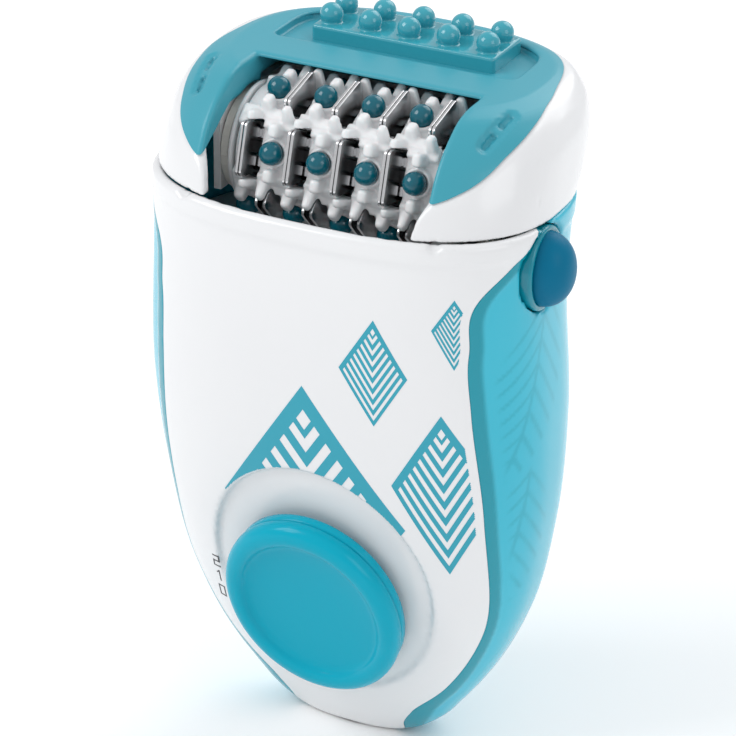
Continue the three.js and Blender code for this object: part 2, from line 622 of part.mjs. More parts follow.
place('massage_bar', massageBar(), coverPlastic());
place('roller_core', rollerCore(), whitePlastic());
place('roller_flange_left', rollerFlange(-1), whitePlastic());
place('roller_flange_right', rollerFlange(1), whitePlastic());
place('roller_axle', rollerAxle(), motorSteel());
place('roller_gear', rollerGear(), gearPlastic());
for (let row = 0; row < ROLLER_ROWS; row += 1) {
  place(`bead_strip_${row + 1}`, beadStrip(row), beadPlastic());
  place(`fixed_comb_${row + 1}`, comb(row, -1), plateSteel());
  place(`moving_comb_${row + 1}`, comb(row, 1), plateSteel());
}

export default group;
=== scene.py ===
import json
import math

import bmesh
import bpy
import numpy as np
from mathutils import Matrix, Vector


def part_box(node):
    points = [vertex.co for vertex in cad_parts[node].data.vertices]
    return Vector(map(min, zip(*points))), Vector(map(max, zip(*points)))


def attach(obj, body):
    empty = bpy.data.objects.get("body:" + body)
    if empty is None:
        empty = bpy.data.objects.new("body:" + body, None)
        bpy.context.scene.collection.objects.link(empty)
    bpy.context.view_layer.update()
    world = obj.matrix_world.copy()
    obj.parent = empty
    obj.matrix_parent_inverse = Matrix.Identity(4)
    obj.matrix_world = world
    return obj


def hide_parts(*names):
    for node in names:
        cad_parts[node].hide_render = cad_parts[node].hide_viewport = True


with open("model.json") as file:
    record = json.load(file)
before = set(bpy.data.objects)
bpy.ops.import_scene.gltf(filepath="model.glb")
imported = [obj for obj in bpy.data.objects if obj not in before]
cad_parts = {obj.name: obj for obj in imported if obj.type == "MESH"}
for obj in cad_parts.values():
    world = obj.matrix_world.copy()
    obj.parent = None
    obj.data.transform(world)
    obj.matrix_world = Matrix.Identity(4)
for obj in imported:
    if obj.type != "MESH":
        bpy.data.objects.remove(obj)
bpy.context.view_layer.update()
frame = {"nodes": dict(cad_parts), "record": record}

# ---- the frame's own sizes -------------------------------------------------------------
# Shapes are worked out in millimetres with x counted from the middle of the roller.
MM = 0.001
BODY_OF = {node: body for body, nodes in frame["record"]["behaviour"]["bodies"].items() for node in nodes}


def box_mm(node):
    """Lowest and highest corner of a CAD node in millimetres, x from the roller's middle."""
    lo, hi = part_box(node)
    return (np.array(lo) / MM - MIDDLE, np.array(hi) / MM - MIDDLE)


core_lo, core_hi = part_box("roller_core")
MIDDLE = np.array([(core_lo.x + core_hi.x) / 2 / MM, 0, 0])
ROLLER = sum(box_mm("cam_left")) / 2
ROLLER_Y, ROLLER_Z = ROLLER[1], ROLLER[2]
CORE_HALF = box_mm("roller_core")[1][0]
LIP_Z = box_mm("front_shell")[1][2]
SPLIT_Z = LIP_Z + 0.12
COVER_TOP_Z = box_mm("head_cover")[1][2]
HALF_WIDTH = box_mm("back_shell")[1][0]
BACK_FLAT_Y = 13.9
FLAT_Z = 61  # middle of the flat on the back
FLAT_HALF = (20, 27)

WALL = 1.8
FIT = 0.12  # shadow gap drawn between two shells
BODY_SECTIONS = np.array([  # height, half width, front face, back face
    [0, 9.0, -7.6, 1.8], [1.5, 12.8, -8.2, 3.4], [4, 16.0, -9.4, 4.4], [8, 19.2, -11.2, 5.6],
    [14, 23.4, -13.5, 7.6], [26, 29.0, -17.1, 11.2], [42, 32.3, -20.9, 14.2], [62, HALF_WIDTH, -24.2, 14.8],
    [85, 32.7, -25.9, 15.2], [98, 32.6, -25.6, 17.8],
])
HEAD_SECTIONS = np.array([
    [96, 32.6, -25.8, 17.2], [104, 32.3, -23.4, 24.4], [108, 31.6, -20.9, 26.0], [111, 29.9, -17.6, 25.9],
    [112.7, 28.0, -15.0, 25.0], [COVER_TOP_Z, 26.4, -13.4, 24.2],
])
BODY_POWER = 2.7  # 2 is an ellipse, more is squarer
HEAD_POWER = 2.5
SEAM_LINE = np.array([  # height, y of the line where the two shells meet
    [-1, -4.6], [2.2, -7.4], [7, -9.6], [14, -10.7], [28, -12.2], [50, -17], [70, -20.3], [80, -20.8],
    [90, -19], [96, -12], [99, -8],
])
COVER_LINE = np.array([  # y, height of the line where the cover sits in the collar
    [-27, 101.4], [-22, 102.4], [-18, 104.6], [-12, 108.3], [-8, 110.0], [-4, 111.3], [0, 112.3], [4, 112.7],
    [30, 112.7],
])

ROWS = 6
FIRST_ROW = math.radians(16.5)
PITCH = 8.0
BEAD_R = 1.83
BEAD_RING_R = 10.7
WINDOW_HALF = 18.8
WINDOW_BACK_Y = -3.2
KNOB_FACE = np.array([0, -18.2, 30])
KNOB_TILT = math.radians(15)
KNOB_HALF = (15.2, 17.4)
RECESS_HALF = (19.0, 22.6)  # oval bed that the knob slides in
RECESS_UP = 2.4
RIM = (1.1, 1.8)  # distance behind the seam over which the dark rim of the grips ends
BUTTON_Y, BUTTON_Z = (sum(box_mm("release_button")) / 2)[1], 90.3
BUTTON_TIP_X = box_mm("release_button")[1][0]
SCREWS = [(0, 78, 10.5), (-19, 26, 6.2), (19, 26, 6.2)]  # x, z and the y of the seat under the head


# ---- camera, light and floor -----------------------------------------------------------
def make_camera():
    """The camera looks down at the front right corner from about half a metre."""
    turn, tip, roll = math.radians(26.4), math.radians(27.0), math.radians(0.6)
    back = Vector((math.sin(turn) * math.cos(tip), -math.cos(turn) * math.cos(tip), math.sin(tip)))
    level = Vector((math.cos(turn), math.sin(turn), 0))
    upright = back.cross(level)
    right = level * math.cos(roll) + upright * math.sin(roll)
    up = upright * math.cos(roll) - level * math.sin(roll)
    camera = bpy.data.objects.new("camera", bpy.data.cameras.new("camera"))
    camera.data.lens = 156.5
    camera.data.sensor_width = 36
    camera.data.clip_start = 0.01
    place = Matrix((right, up, back)).transposed().to_4x4()
    place.translation = Vector((0.19873, -0.40536, 0.29275))
    camera.matrix_world = place
    bpy.context.scene.collection.objects.link(camera)
    bpy.context.scene.camera = camera


def area_light(name, place, size, power):
    """A soft square light aimed at the middle of the object."""
    aim = Vector((0, 0, 0.06))
    data = bpy.data.lights.new(name, "AREA")
    data.size = size
    data.energy = power
    light = bpy.data.objects.new(name, data)
    light.location = place
    light.rotation_euler = (aim - Vector(place)).to_track_quat("-Z", "Y").to_euler()
    bpy.context.scene.collection.objects.link(light)


def make_floor():
    """A pale paper floor, far wider than the view."""
    side = 3.0
    mesh = bpy.data.meshes.new("floor")
    corners = [(-side, -side, 0), (side, -side, 0), (side, side, 0), (-side, side, 0)]
    mesh.from_pydata(corners, [], [(0, 1, 2, 3)])
    floor = bpy.data.objects.new("floor", mesh)
    material, _, _, shader = new_material("floor_paper")
    shader.inputs["Base Color"].default_value = (0.96, 0.96, 0.96, 1)
    shader.inputs["Roughness"].default_value = 0.9
    mesh.materials.append(material)
    bpy.context.scene.collection.objects.link(floor)


def make_world():
    """Even, slightly cool light from all round."""
    world = bpy.data.worlds.new("studio")
    world.use_nodes = True
    world.node_tree.nodes["Background"].inputs["Color"].default_value = (0.97, 0.98, 1, 1)
    world.node_tree.nodes["Background"].inputs["Strength"].default_value = 0.72
    bpy.context.scene.world = world
    bpy.context.scene.view_settings.view_transform = "Standard"


# ---- materials -------------------------------------------------------------------------
def new_material(name):
    """A node material with its nodes, its links and its shader."""
    material = bpy.data.materials.new(name)
    material.use_nodes = True
    nodes = material.node_tree.nodes
    return material, nodes, material.node_tree.links, nodes["Principled BSDF"]


def add_noise(nodes, links, scale, detail=2.0, stretch=(1, 1, 1)):
    """Fine noise over the object's own coordinates, in grains per metre."""
    coordinates = nodes.new("ShaderNodeTexCoord")
    mapping = nodes.new("ShaderNodeMapping")
    mapping.inputs["Scale"].default_value = stretch
    noise = nodes.new("ShaderNodeTexNoise")
    noise.inputs["Scale"].default_value = scale
    noise.inputs["Detail"].default_value = detail
    links.new(coordinates.outputs["Object"], mapping.inputs["Vector"])
    links.new(mapping.outputs["Vector"], noise.inputs["Vector"])
    return noise.outputs["Fac"]


def ramp_between(nodes, links, value, low, high):
    """Maps 0..1 to low..high."""
    spread = nodes.new("ShaderNodeMapRange")
    spread.inputs["To Min"].default_value = low
    spread.inputs["To Max"].default_value = high
    links.new(value, spread.inputs["Value"])
    return spread.outputs["Result"]


def colour_mix(nodes, links, factor, first, second):
    mix = nodes.new("ShaderNodeMix")
    mix.data_type = "RGBA"
    mix.inputs["A"].default_value = (*first, 1)
    mix.inputs["B"].default_value = (*second, 1)
    links.new(factor, mix.inputs["Factor"])
    return mix.outputs["Result"]


def finish_surface(nodes, links, shader, roughness, grain, relief):
    """Varies the gloss a little and adds the fine grain of the mould."""
    patches = add_noise(nodes, links, 90, 3)
    spread = 0.12
    low, high = roughness * (1 - spread), roughness * (1 + spread)
    links.new(ramp_between(nodes, links, patches, low, high), shader.inputs["Roughness"])
    bump = nodes.new("ShaderNodeBump")
    bump.inputs["Strength"].default_value = relief
    bump.inputs["Distance"].default_value = 0.00005
    links.new(add_noise(nodes, links, grain), bump.inputs["Height"])
    links.new(bump.outputs["Normal"], shader.inputs["Normal"])


def plastic(name, light, dark, roughness, coat=0.0, grain=3500, relief=0.05, subsurface=0.0, shine=0.5):
    """Moulded plastic whose colour drifts a little between two tones."""
    material, nodes, links, shader = new_material(name)
    shader.inputs["Specular IOR Level"].default_value = shine
    tone = ramp_between(nodes, links, add_noise(nodes, links, 35, 1), 0.0, 1.0)
    links.new(colour_mix(nodes, links, tone, dark, light), shader.inputs["Base Color"])
    shader.inputs["Coat Weight"].default_value = coat
    shader.inputs["Coat Roughness"].default_value = 0.06
    if subsurface:
        shader.inputs["Subsurface Weight"].default_value = subsurface
        shader.inputs["Subsurface Radius"].default_value = (0.3, 0.9, 1.0)
        shader.inputs["Subsurface Scale"].default_value = 0.002
    finish_surface(nodes, links, shader, roughness, grain, relief)
    return material


def grip_plastic(name, light, dark, rim):
    """Glossy tinted plastic: lighter over the grip, deeper in the rim band, and darker in the grooves from
    painted shading.
    """
    material, nodes, links, shader = new_material(name)
    tone = add_noise(nodes, links, 30, 1)
    inner = colour_mix(nodes, links, tone, dark, light)
    # A point attribute blends in the rim band's deeper tint and the painted shading of the grooves.
    rim_tint_and_groove_shading = nodes.new("ShaderNodeAttribute")
    rim_tint_and_groove_shading.attribute_name = "rim_tint_and_groove_shading"
    mix = nodes.new("ShaderNodeMix")
    mix.data_type = "RGBA"
    mix.inputs["B"].default_value = (*rim, 1)
    links.new(rim_tint_and_groove_shading.outputs["Fac"], mix.inputs["Factor"])
    links.new(inner, mix.inputs["A"])
    links.new(mix.outputs["Result"], shader.inputs["Base Color"])
    shader.inputs["Specular IOR Level"].default_value = 0.3
    shader.inputs["Coat Weight"].default_value = 0.35
    shader.inputs["Coat Roughness"].default_value = 0.05
    finish_surface(nodes, links, shader, 0.22, 2500, 0.04)
    return material


def clear_tint(name, colour, roughness, transmission):
    """Tinted see-through plastic for beads and the button's ring."""
    material, nodes, links, shader = new_material(name)
    tone = add_noise(nodes, links, 300, 1)
    deep = tuple(0.8 * c for c in colour)
    links.new(colour_mix(nodes, links, tone, deep, colour), shader.inputs["Base Color"])
    shader.inputs["Transmission Weight"].default_value = transmission
    shader.inputs["IOR"].default_value = 1.5
    shader.inputs["Specular IOR Level"].default_value = 0.3
    shader.inputs["Coat Weight"].default_value = 0.3
    shader.inputs["Coat Roughness"].default_value = 0.03
    finish_surface(nodes, links, shader, roughness, 4000, 0.02)
    return material


def steel(name, tone, roughness, stretch=(1, 30, 1)):
    """Metal with fine grinding lines."""
    material, nodes, links, shader = new_material(name)
    lines = add_noise(nodes, links, 900, 3, stretch)
    dark = tuple(0.82 * c for c in tone)
    links.new(colour_mix(nodes, links, lines, dark, tone), shader.inputs["Base Color"])
    shader.inputs["Metallic"].default_value = 1
    polish = ramp_between(nodes, links, lines, 0.75 * roughness, 1.3 * roughness)
    links.new(polish, shader.inputs["Roughness"])
    return material


WHITE = plastic("white_gloss", (0.77, 0.775, 0.78), (0.74, 0.745, 0.755), 0.24, 0.25)
SATIN_WHITE = plastic("white_satin", (0.78, 0.785, 0.79), (0.72, 0.73, 0.74), 0.36, 0.1, subsurface=0.15)
COVER = plastic("cover_satin", (0.050, 0.335, 0.42), (0.040, 0.305, 0.39), 0.36, 0.08, 2800, 0.10, shine=0.35)
DOME = plastic("massage_gloss", (0.040, 0.34, 0.42), (0.032, 0.31, 0.39), 0.14, 0.5, 2800, 0.03, shine=0.35)
GRIP = grip_plastic("grip_turquoise", (0.040, 0.47, 0.61), (0.025, 0.43, 0.57), (0.0, 0.27, 0.35))
KNOB = plastic("knob_turquoise", (0.0, 0.37, 0.50), (0.0, 0.34, 0.47), 0.22, 0.12, 2500, 0.03, shine=0.12)
BUTTON = plastic("button_blue", (0.0, 0.15, 0.27), (0.0, 0.13, 0.24), 0.42, 0.0, 2200, 0.12, shine=0.12)
BEZEL = clear_tint("bezel_clear", (0.0, 0.36, 0.48), 0.10, 0.35)
BEAD = clear_tint("bead_clear", (0.0, 0.15, 0.21), 0.06, 0.25)
PRINT = plastic("print_turquoise", (0.030, 0.335, 0.44), (0.025, 0.32, 0.42), 0.35, 0.1, shine=0.3)
INK = plastic("print_grey", (0.07, 0.07, 0.075), (0.05, 0.05, 0.055), 0.5)
PLATE = steel("plate_steel", (0.74, 0.74, 0.75), 0.20)
MACHINE = steel("machine_steel", (0.60, 0.61, 0.62), 0.34, (20, 1, 1))
ACETAL = plastic("gear_acetal", (0.78, 0.76, 0.70), (0.74, 0.72, 0.66), 0.45)
BLACK = plastic("black_moulding", (0.03, 0.03, 0.033), (0.02, 0.02, 0.022), 0.45, 0.0, 2500, 0.15)
BOARD = plastic("board_green", (0.03, 0.17, 0.09), (0.02, 0.12, 0.06), 0.35, 0.3)
RED = plastic("wire_red", (0.55, 0.03, 0.03), (0.48, 0.02, 0.02), 0.4)


# ---- solids as distance fields ---------------------------------------------------------
class Grid:
    """Evenly spaced points in a box; x, y and z broadcast against each other."""

    def __init__(self, lo, hi, step):
        self.step = step
        self.origin = np.array(lo, float) - 2 * step
        counts = np.ceil((np.array(hi) - self.origin) / step).astype(int) + 3
        axes = [self.origin[i] + step * np.arange(counts[i]) for i in range(3)]
        self.x, self.y, self.z = np.meshgrid(*axes, indexing="ij", sparse=True)

    def distance(self, field):
        """Turns any smooth field into the distance from its zero surface, near that surface."""
        slopes = np.gradient(field, self.step)
        return field / np.maximum(np.sqrt(sum(s * s for s in slopes)), 0.004)


def follow(table, at):
    """A smooth curve through the rows of a table: the first column is the place, the rest are values."""
    places, values = table[:, 0], table[:, 1:]
    slopes = np.gradient(values, places, axis=0)
    at = np.clip(at, places[0], places[-1])
    i = np.clip(np.searchsorted(places, at, side="right") - 1, 0, len(places) - 2)
    width = places[i + 1] - places[i]
    t = (at - places[i]) / width
    start, rise = (2 * t ** 3 - 3 * t ** 2 + 1), (t ** 3 - 2 * t ** 2 + t) * width
    end, fall = (3 * t ** 2 - 2 * t ** 3), (t ** 3 - t ** 2) * width
    curves = []
    for k in range(values.shape[1]):
        v, m = values[:, k], slopes[:, k]
        curves.append(start * v[i] + rise * m[i] + end * v[i + 1] + fall * m[i + 1])
    return curves


def oval(table, power, x, y, z):
    """Zero on the oval column that the table describes, negative inside."""
    half, front, back = follow(table, z)
    across = np.abs(x / half) ** power
    along = np.abs((y - (front + back) / 2) / ((back - front) / 2)) ** power
    return (across + along) ** (1 / power) - 1


def loft(grid, table, power):
    """Distance from the oval column that the table describes."""
    return grid.distance(oval(table, power, grid.x, grid.y, grid.z))


def both(a, b, r=0.0):
    """What lies in a and in b, its edge rounded to radius r."""
    if r == 0:
        return np.maximum(a, b)
    corner = np.hypot(np.maximum(a + r, 0), np.maximum(b + r, 0))
    return np.minimum(np.maximum(a, b), -r) + corner


def either(a, b, r=0.0):
    """What lies in a or in b, with a fillet of radius r between them."""
    return -both(-a, -b, r)


def without(a, b, r=0.0):
    return both(a, -b, r)


def rounded_box(x, y, z, half, r):
    """A box about the origin with rounded edges."""
    q = [np.abs(v) - (h - r) for v, h in zip((x, y, z), half)]
    outside = np.sqrt(sum(np.maximum(v, 0) ** 2 for v in q))
    return outside + np.minimum(np.maximum(np.maximum(q[0], q[1]), q[2]), 0) - r


def ramp(value, start, end):
    """Rises smoothly from 0 at start to 1 at end."""
    t = np.clip((value - start) / (end - start), 0, 1)
    return t * t * (3 - 2 * t)


CORNERS = [(a, b, c) for a in (0, 1) for b in (0, 1) for c in (0, 1)]


def surface(grid, field):
    """The zero surface of a field as points and quads, one point in each cell that it crosses."""
    inside = field < 0
    size = [n - 1 for n in field.shape]
    shifted = [tuple(slice(o, o + n) for o, n in zip(corner, size)) for corner in CORNERS]
    count = sum(inside[s].astype(np.int8) for s in shifted)
    cells = np.argwhere((count > 0) & (count < 8))
    number = np.full(size, -1)
    number[tuple(cells.T)] = np.arange(len(cells))
    total, hits = np.zeros((len(cells), 3)), np.zeros(len(cells))
    for corner in CORNERS:
        for axis in range(3):
            if corner[axis]:
                continue
            step = np.eye(3, dtype=int)[axis]
            near = field[tuple((cells + corner).T)]
            far = field[tuple((cells + corner + step).T)]
            crossed = (near < 0) != (far < 0)
            share = near[crossed] / (near[crossed] - far[crossed])
            total[crossed] += cells[crossed] + corner + share[:, None] * step
            hits[crossed] += 1
    points = grid.origin + grid.step * total / hits[:, None]
    quads = []
    for axis in range(3):
        u, v = [(1, 2), (2, 0), (0, 1)][axis]
        step, du, dv = np.eye(3, dtype=int)[[axis, u, v]]
        low = tuple(slice(0, n - 1) if i == axis else slice(1, n - 1) for i, n in enumerate(field.shape))
        high = tuple(slice(1, n) if i == axis else slice(1, n - 1) for i, n in enumerate(field.shape))
        at = np.argwhere(inside[low] != inside[high]) + du + dv
        ring = [number[tuple((at - offset).T)] for offset in (du + dv, dv, 0 * du, du)]
        ring = np.stack(ring, axis=1)
        out = inside[tuple(at.T)]
        quads.append(ring[out])
        quads.append(ring[~out][:, ::-1])
    return points, np.concatenate(quads)


def trim(shape, axis, sheet, side):
    """Cuts a closed mesh along a bent sheet, keeps one side and closes the cut.
    sheet gives the height of the cut along the axis at each point; side is 1 to keep what is above."""
    points, faces = shape
    flat = points.copy()
    flat[:, axis] -= sheet(points)
    mesh = bpy.data.meshes.new("trim")
    mesh.from_pydata(flat.tolist(), [], [tuple(int(i) for i in face) for face in faces])
    bm = bmesh.new()
    bm.from_mesh(mesh)
    away = Vector([-side if i == axis else 0 for i in range(3)])
    everything = list(bm.verts) + list(bm.edges) + list(bm.faces)
    cut = bmesh.ops.bisect_plane(
        bm, geom=everything, dist=1e-4, plane_co=(0, 0, 0), plane_no=away, clear_outer=True)
    rim = [item for item in cut["geom_cut"] if isinstance(item, bmesh.types.BMEdge) and item.is_boundary]
    ends = [vertex for edge in rim for vertex in edge.verts]
    if len(set(ends)) * 2 != len(ends):
        raise ValueError("the cut's rim touches itself, so it can't be closed")
    bmesh.ops.triangle_fill(bm, edges=rim, use_beauty=True, normal=away)
    bmesh.ops.recalc_face_normals(bm, faces=bm.faces)
    bm.to_mesh(mesh)
    bm.free()
    points = np.array([v.co for v in mesh.vertices])
    points[:, axis] += sheet(points)
    faces = [list(polygon.vertices) for polygon in mesh.polygons]
    bpy.data.meshes.remove(mesh)
    return points, faces


# ---- pieces ----------------------------------------------------------------------------
def add_piece(name, points, faces, material, nodes, body=None, rim_tint_and_groove_shading=None):
    """A smooth mesh that stands for CAD nodes and moves with their body."""
    mesh = bpy.data.meshes.new(name)
    world = (np.asarray(points, float) + MIDDLE) * MM
    mesh.from_pydata(world.tolist(), [], [tuple(int(i) for i in face) for face in faces])
    mesh.polygons.foreach_set("use_smooth", np.ones(len(mesh.polygons), bool))
    mesh.set_sharp_from_angle(angle=math.radians(50))
    mesh.materials.append(material)
    # The optional point attribute carries the grip's rim tint and its painted groove shading.
    if rim_tint_and_groove_shading is not None:
        attribute = mesh.attributes.new("rim_tint_and_groove_shading", "FLOAT", "POINT")
        attribute.data.foreach_set("value", np.asarray(rim_tint_and_groove_shading, np.float32).ravel())
    mesh.update()
    piece = bpy.data.objects.new(name, mesh)
    bpy.context.scene.collection.objects.link(piece)
    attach(piece, body or BODY_OF[nodes[0]])
    if nodes:
        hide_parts(*nodes)
    return piece


def seam_distance(y, z):
    """Distance behind the line where the shells meet, in side view."""
    line, = follow(SEAM_LINE, z)
    slope = (follow(SEAM_LINE, z + 0.5)[0] - follow(SEAM_LINE, z - 0.5)[0])
    return (y - line) / np.sqrt(1 + slope ** 2)


def cover_distance(y, z):
    """Distance above the line where the cover sits in the collar, in side view."""
    line, = follow(COVER_LINE, y)
    slope = (follow(COVER_LINE, y + 0.5)[0] - follow(COVER_LINE, y - 0.5)[0])
    return (z - line) / np.sqrt(1 + slope ** 2)


def front_y(x, z):
    """y of the front face of the body at a place in front view."""
    half, front, back = follow(BODY_SECTIONS, z)
    depth = (1 - np.abs(x / half) ** BODY_POWER) ** (1 / BODY_POWER)
    return (front + back) / 2 - (back - front) / 2 * depth


def on_switch_face(grid):
    """Coordinates on the leaning face under the knob: across, up and outwards."""
    y, z = grid.y - KNOB_FACE[1], grid.z - KNOB_FACE[2]
    up = -math.sin(KNOB_TILT) * y + math.cos(KNOB_TILT) * z
    out = -math.cos(KNOB_TILT) * y - math.sin(KNOB_TILT) * z
    return grid.x, up, out


def from_switch_face(points):
    """Places points drawn as across, up and outwards on the leaning face."""
    up = np.array([0, -math.sin(KNOB_TILT), math.cos(KNOB_TILT)])
    out = np.array([0, -math.cos(KNOB_TILT), -math.sin(KNOB_TILT)])
    p = np.asarray(points)
    return KNOB_FACE + p[:, :1] * np.array([1, 0, 0]) + p[:, 1:2] * up + p[:, 2:] * out


def dimples(grid):
    """The two half-round notches on the line between the head and the body."""
    x, radius = 21.0, 1.1
    y = front_y(x, SPLIT_Z)
    left, right = [
        np.sqrt((grid.x - side * x) ** 2 + (grid.y - y) ** 2 + (grid.z - SPLIT_Z) ** 2)
        for side in (-1, 1)]
    return np.minimum(left, right) - radius


def body_parts(grid, extra=0.0):
    """The outer body, and the thin skin of it that both shells are cut from; extra thickens its wall."""
    outer = loft(grid, BODY_SECTIONS, BODY_POWER)
    lip_step = 0.3
    outer = outer - lip_step * ramp(grid.z, LIP_Z - 4.0, LIP_Z - 2.8)
    block = both(both(outer, -grid.z, 1.2), grid.z - LIP_Z, 1.0)
    skin = without(block, both(outer + WALL + extra, WALL - grid.z), 0.4)
    return outer, block, skin


def side_holes(grid):
    """The release button's oval hole and the round hole of the inlet."""
    half_y, half_z = 6.1, 6.9
    inlet_y, inlet_r = -2.9, 4.15
    mean = (half_y + half_z) / 2
    button = (np.hypot((grid.y - BUTTON_Y) / half_y, (grid.z - BUTTON_Z) / half_z) - 1) * mean
    inlet = both(np.hypot(grid.x, grid.y - inlet_y) - inlet_r, grid.z - 12)
    return np.minimum(both(button, 20 - grid.x), inlet)


def seam_sheet(gap):
    """The sheet through the line where the shells meet, moved back by a gap."""
    return lambda points: follow(SEAM_LINE, points[:, 2])[0] + gap


def cover_sheet(points):
    """The sheet that the cover's lower edge lies on, clear of the collar."""
    return follow(COVER_LINE, points[:, 1])[0] + FIT


SHELL_LO, SHELL_HI = (-34.2, -26.8, 0), (34.2, 18.4, LIP_Z)
SHELL_STEP = 0.5


def make_front_shell():
    """The white front with the knob's oval bed, its slot and the three screw bosses."""
    bed_wall = 1.6  # extra wall behind the bed
    boss_r, pilot_r = 2.6, 1.0
    grid = Grid(SHELL_LO, (SHELL_HI[0], 2, SHELL_HI[2]), SHELL_STEP)
    x, up, out = on_switch_face(grid)
    edge = (np.hypot(x / RECESS_HALF[0], (up - RECESS_UP) / RECESS_HALF[1]) - 1) * RECESS_HALF[0]
    outer, block, skin = body_parts(grid, bed_wall * (1 - ramp(edge, 0, 2)))
    depth = 1.15 * ramp(up, -14, 14)
    bed = both(edge, either(-depth - outer, -1.0 - out, 2.0), 0.5)
    skin = without(skin, bed, 0.55)
    slot = both(both(np.abs(x) - 2.6, np.abs(up - 2.75) - 6.15), np.abs(out + 2) - 4)
    skin = without(skin, slot)
    for screw_x, screw_z, _ in SCREWS:
        rod = np.hypot(grid.x - screw_x, grid.z - screw_z)
        skin = either(skin, both(both(rod - boss_r, grid.y + 2), block + 1.2), 1.0)
        skin = without(skin, both(rod - pilot_r, -12 - grid.y))
    front = without(skin, np.minimum(side_holes(grid), dimples(grid)), 0.3)
    points, faces = trim(surface(grid, front), 1, seam_sheet(0), -1)
    add_piece("front_casing", points, faces, WHITE, ["front_shell"])


def leaf_grooves(y, z):
    """How deep the feather pattern of the grips is cut, from 0 to 1."""
    depth = 0 * (y + z)
    pitch, slope = 3.6, 1.1
    for middle, length, width, place, lean in ((72, 17, 9, -11.5, 0.32), (44, 15, 8, -12.2, 0.06)):
        off = np.abs(y - place - lean * (z - middle))
        reach = np.clip(1 - ((z - middle) / length) ** 2, 0, 1)
        leaf = ramp(width * reach - off, 0, 1.5)
        phase = (z + slope * off) / pitch
        line = 1 - ramp(np.abs(phase - np.round(phase)) * pitch / math.hypot(1, slope), 0.10, 0.50)
        stem = 1 - ramp(off, 0.1, 0.5)
        depth = np.maximum(depth, leaf * np.maximum(line, stem))
    return depth


def make_back_shell():
    """The tinted back with its feather pattern, dark rim, flat and screw posts."""
    rim_step = 0.2
    lining_half = 0.8
    post_r, shank_r, head_r = 4.2, 1.5, 3.0
    grid = Grid(SHELL_LO, SHELL_HI, SHELL_STEP)
    outer, block, skin = body_parts(grid)
    side = ramp(np.abs(grid.x), 18, 26) * ramp(seam_distance(grid.y, grid.z), 2.4, 3.6)
    skin = skin + 0.2 * leaf_grooves(grid.y, grid.z) * side
    skin = np.maximum(skin, outer + rim_step * ramp(seam_distance(grid.y, grid.z), *RIM))
    lining = both(np.abs(grid.x) - (FLAT_HALF[0] + 1), np.abs(grid.z - FLAT_Z) - (FLAT_HALF[1] + 1))
    lining = both(lining, np.abs(grid.y - BACK_FLAT_Y + lining_half) - lining_half)
    skin = np.minimum(skin, both(lining, block + 0.3))
    for screw_x, screw_z, _ in SCREWS:
        rod = np.hypot(grid.x - screw_x, grid.z - screw_z)
        skin = np.minimum(skin, both(both(rod - post_r, -1.6 - grid.y), block + 0.3))
    flat = both(np.abs(grid.x) - FLAT_HALF[0], np.abs(grid.z - FLAT_Z) - FLAT_HALF[1])
    back = without(skin, both(flat, BACK_FLAT_Y - grid.y), 0.3)
    for screw_x, screw_z, seat in SCREWS:
        rod = np.hypot(grid.x - screw_x, grid.z - screw_z)
        back = without(back, rod - shank_r)
        back = without(back, both(rod - head_r, seat - grid.y), 0.2)
    back = without(back, side_holes(grid), 0.2)
    points, faces = trim(surface(grid, back), 1, seam_sheet(FIT), 1)
    behind = seam_distance(points[:, 1], points[:, 2])
    rim = 1 - ramp(behind, *RIM)
    # Painted shading darkens the feather grooves; the rim band keeps the grip's own deeper tint.
    painted_groove_shading = 0.4 * leaf_grooves(points[:, 1], points[:, 2]) * ramp(np.abs(points[:, 0]), 20, 27)
    rim_tint_and_groove_shading = np.maximum(rim, painted_groove_shading * ramp(behind, 2.4, 3.6))
    add_piece("back_casing", points, faces, GRIP, ["back_shell"], rim_tint_and_groove_shading=rim_tint_and_groove_shading)


HEAD_STEP = 0.34


def make_collar():
    """The white frame of the head, open at the front for the roller."""
    grid = Grid((-33, -26.4, SPLIT_Z), (33, 26.4, COVER_TOP_Z), HEAD_STEP)
    head = loft(grid, HEAD_SECTIONS, HEAD_POWER)
    skin = without(both(head, SPLIT_Z - grid.z, 0.3), head + WALL, 0.4)
    opening = 17.0 + 0.9 * ramp(grid.z, SPLIT_Z - 1, SPLIT_Z + 5)
    window = both(np.abs(grid.x) - opening, grid.y - WINDOW_BACK_Y)
    edge = both(cover_distance(grid.y, grid.z), -window, 2.2)
    collar = both(skin, edge, 0.6)
    pocket = both(both(np.abs(grid.x - 29.8) - 1.4, np.abs(grid.y + 6) - 3.4), grid.z - 101.6)
    collar = without(collar, np.minimum(pocket, dimples(grid)), 0.15)
    points, faces = surface(grid, collar)
    add_piece("collar", points, faces, WHITE, ["head_collar"])


def head_point(near):
    """The place on the head's outer face nearest to a point, and the way out there."""
    def level(p):
        return float(oval(HEAD_SECTIONS, HEAD_POWER, p[0], p[1], np.array(p[2])))

    point, nudge = np.array(near, float), 0.05
    for _ in range(4):
        value = level(point)
        slope = np.array([(level(point + nudge * axis) - value) / nudge for axis in np.eye(3)])
        point = point - value * slope / (slope @ slope)
    return point, slope / np.linalg.norm(slope)


def cheek_frame(grid, side):
    """Coordinates along and across the slanted recess in a cheek."""
    low, high = np.array([23.7, -13.2, 109.5]), np.array([25.2, -5.4, 112.9])
    middle, along = (low + high) / 2, (high - low) / np.linalg.norm(high - low)
    middle, out = head_point(middle)
    across = np.cross(out, along)
    p = [side * grid.x - middle[0], grid.y - middle[1], grid.z - middle[2]]
    return [sum(v * a for v, a in zip(p, axis)) for axis in (along, across)]


